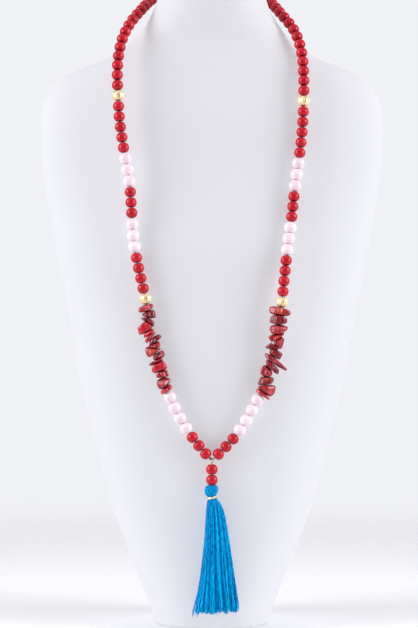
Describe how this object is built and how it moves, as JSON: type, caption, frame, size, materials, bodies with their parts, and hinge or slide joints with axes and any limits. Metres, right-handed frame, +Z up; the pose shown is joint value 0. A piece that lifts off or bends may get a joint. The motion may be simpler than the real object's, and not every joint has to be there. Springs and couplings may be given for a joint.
{
  "type": "tassel necklace on a neck bust",
  "caption": "Long slip-on string of round red stone and pink quartz beads with gold spacers, coral chips and a hinged drop with a blue thread tassel, on a plain white neck bust.",
  "frame": {"origin": "the middle of the bust's foot, on the surface that it stands on", "axes": "+X to the viewer's right, +Z up, -Y to the front"},
  "size_m": [0.2542, 0.1362, 0.5052],
  "materials": {
    "red_stone": "polished",
    "rose_quartz": "polished, milky",
    "gold_metal": "hammered, pale gold",
    "coral": "tumbled, glossy",
    "seed_glass": "glossy",
    "thread": "twisted",
    "blue_thread": "silky",
    "gold_cord": "wound cord",
    "bust_cover": "plain, matt, white"
  },
  "bodies": {
    "string": {"neck_bust": "bust_cover", "thread": "thread", "red_beads": "red_stone", "rose_beads": "rose_quartz", "gold_bead_1": "gold_metal", "gold_bead_2": "gold_metal", "gold_bead_3": "gold_metal", "gold_bead_4": "gold_metal", "coral_chip_1": "coral", "coral_chip_2": "coral", "coral_chip_3": "coral", "coral_chip_4": "coral", "coral_chip_5": "coral", "coral_chip_6": "coral", "coral_chip_7": "coral", "coral_chip_8": "coral", "coral_chip_9": "coral", "coral_chip_10": "coral", "coral_chip_11": "coral", "coral_chip_12": "coral", "coral_chip_13": "coral", "coral_chip_14": "coral", "coral_chip_15": "coral", "coral_chip_16": "coral", "coral_chip_17": "coral", "coral_chip_18": "coral", "coral_chip_19": "coral", "coral_chip_20": "coral", "coral_chip_21": "coral", "coral_chip_22": "coral", "coral_chip_23": "coral", "coral_chip_24": "coral", "coral_chip_25": "coral", "coral_chip_26": "coral", "coral_chip_27": "coral", "coral_chip_28": "coral", "seed_bead": "seed_glass"},
    "drop": {"drop_pin": "gold_metal", "drop_bead_1": "red_stone", "drop_bead_2": "red_stone", "tassel": "blue_thread", "tassel_band": "gold_cord"}
  },
  "joints": [
    {"name": "drop_swing", "type": "hinge", "parent": "string", "child": "drop", "pos_m": [0, -0.06503, 0.12342], "axis": [1, 0, 0], "range_deg": [-80, 0]}
  ]
}
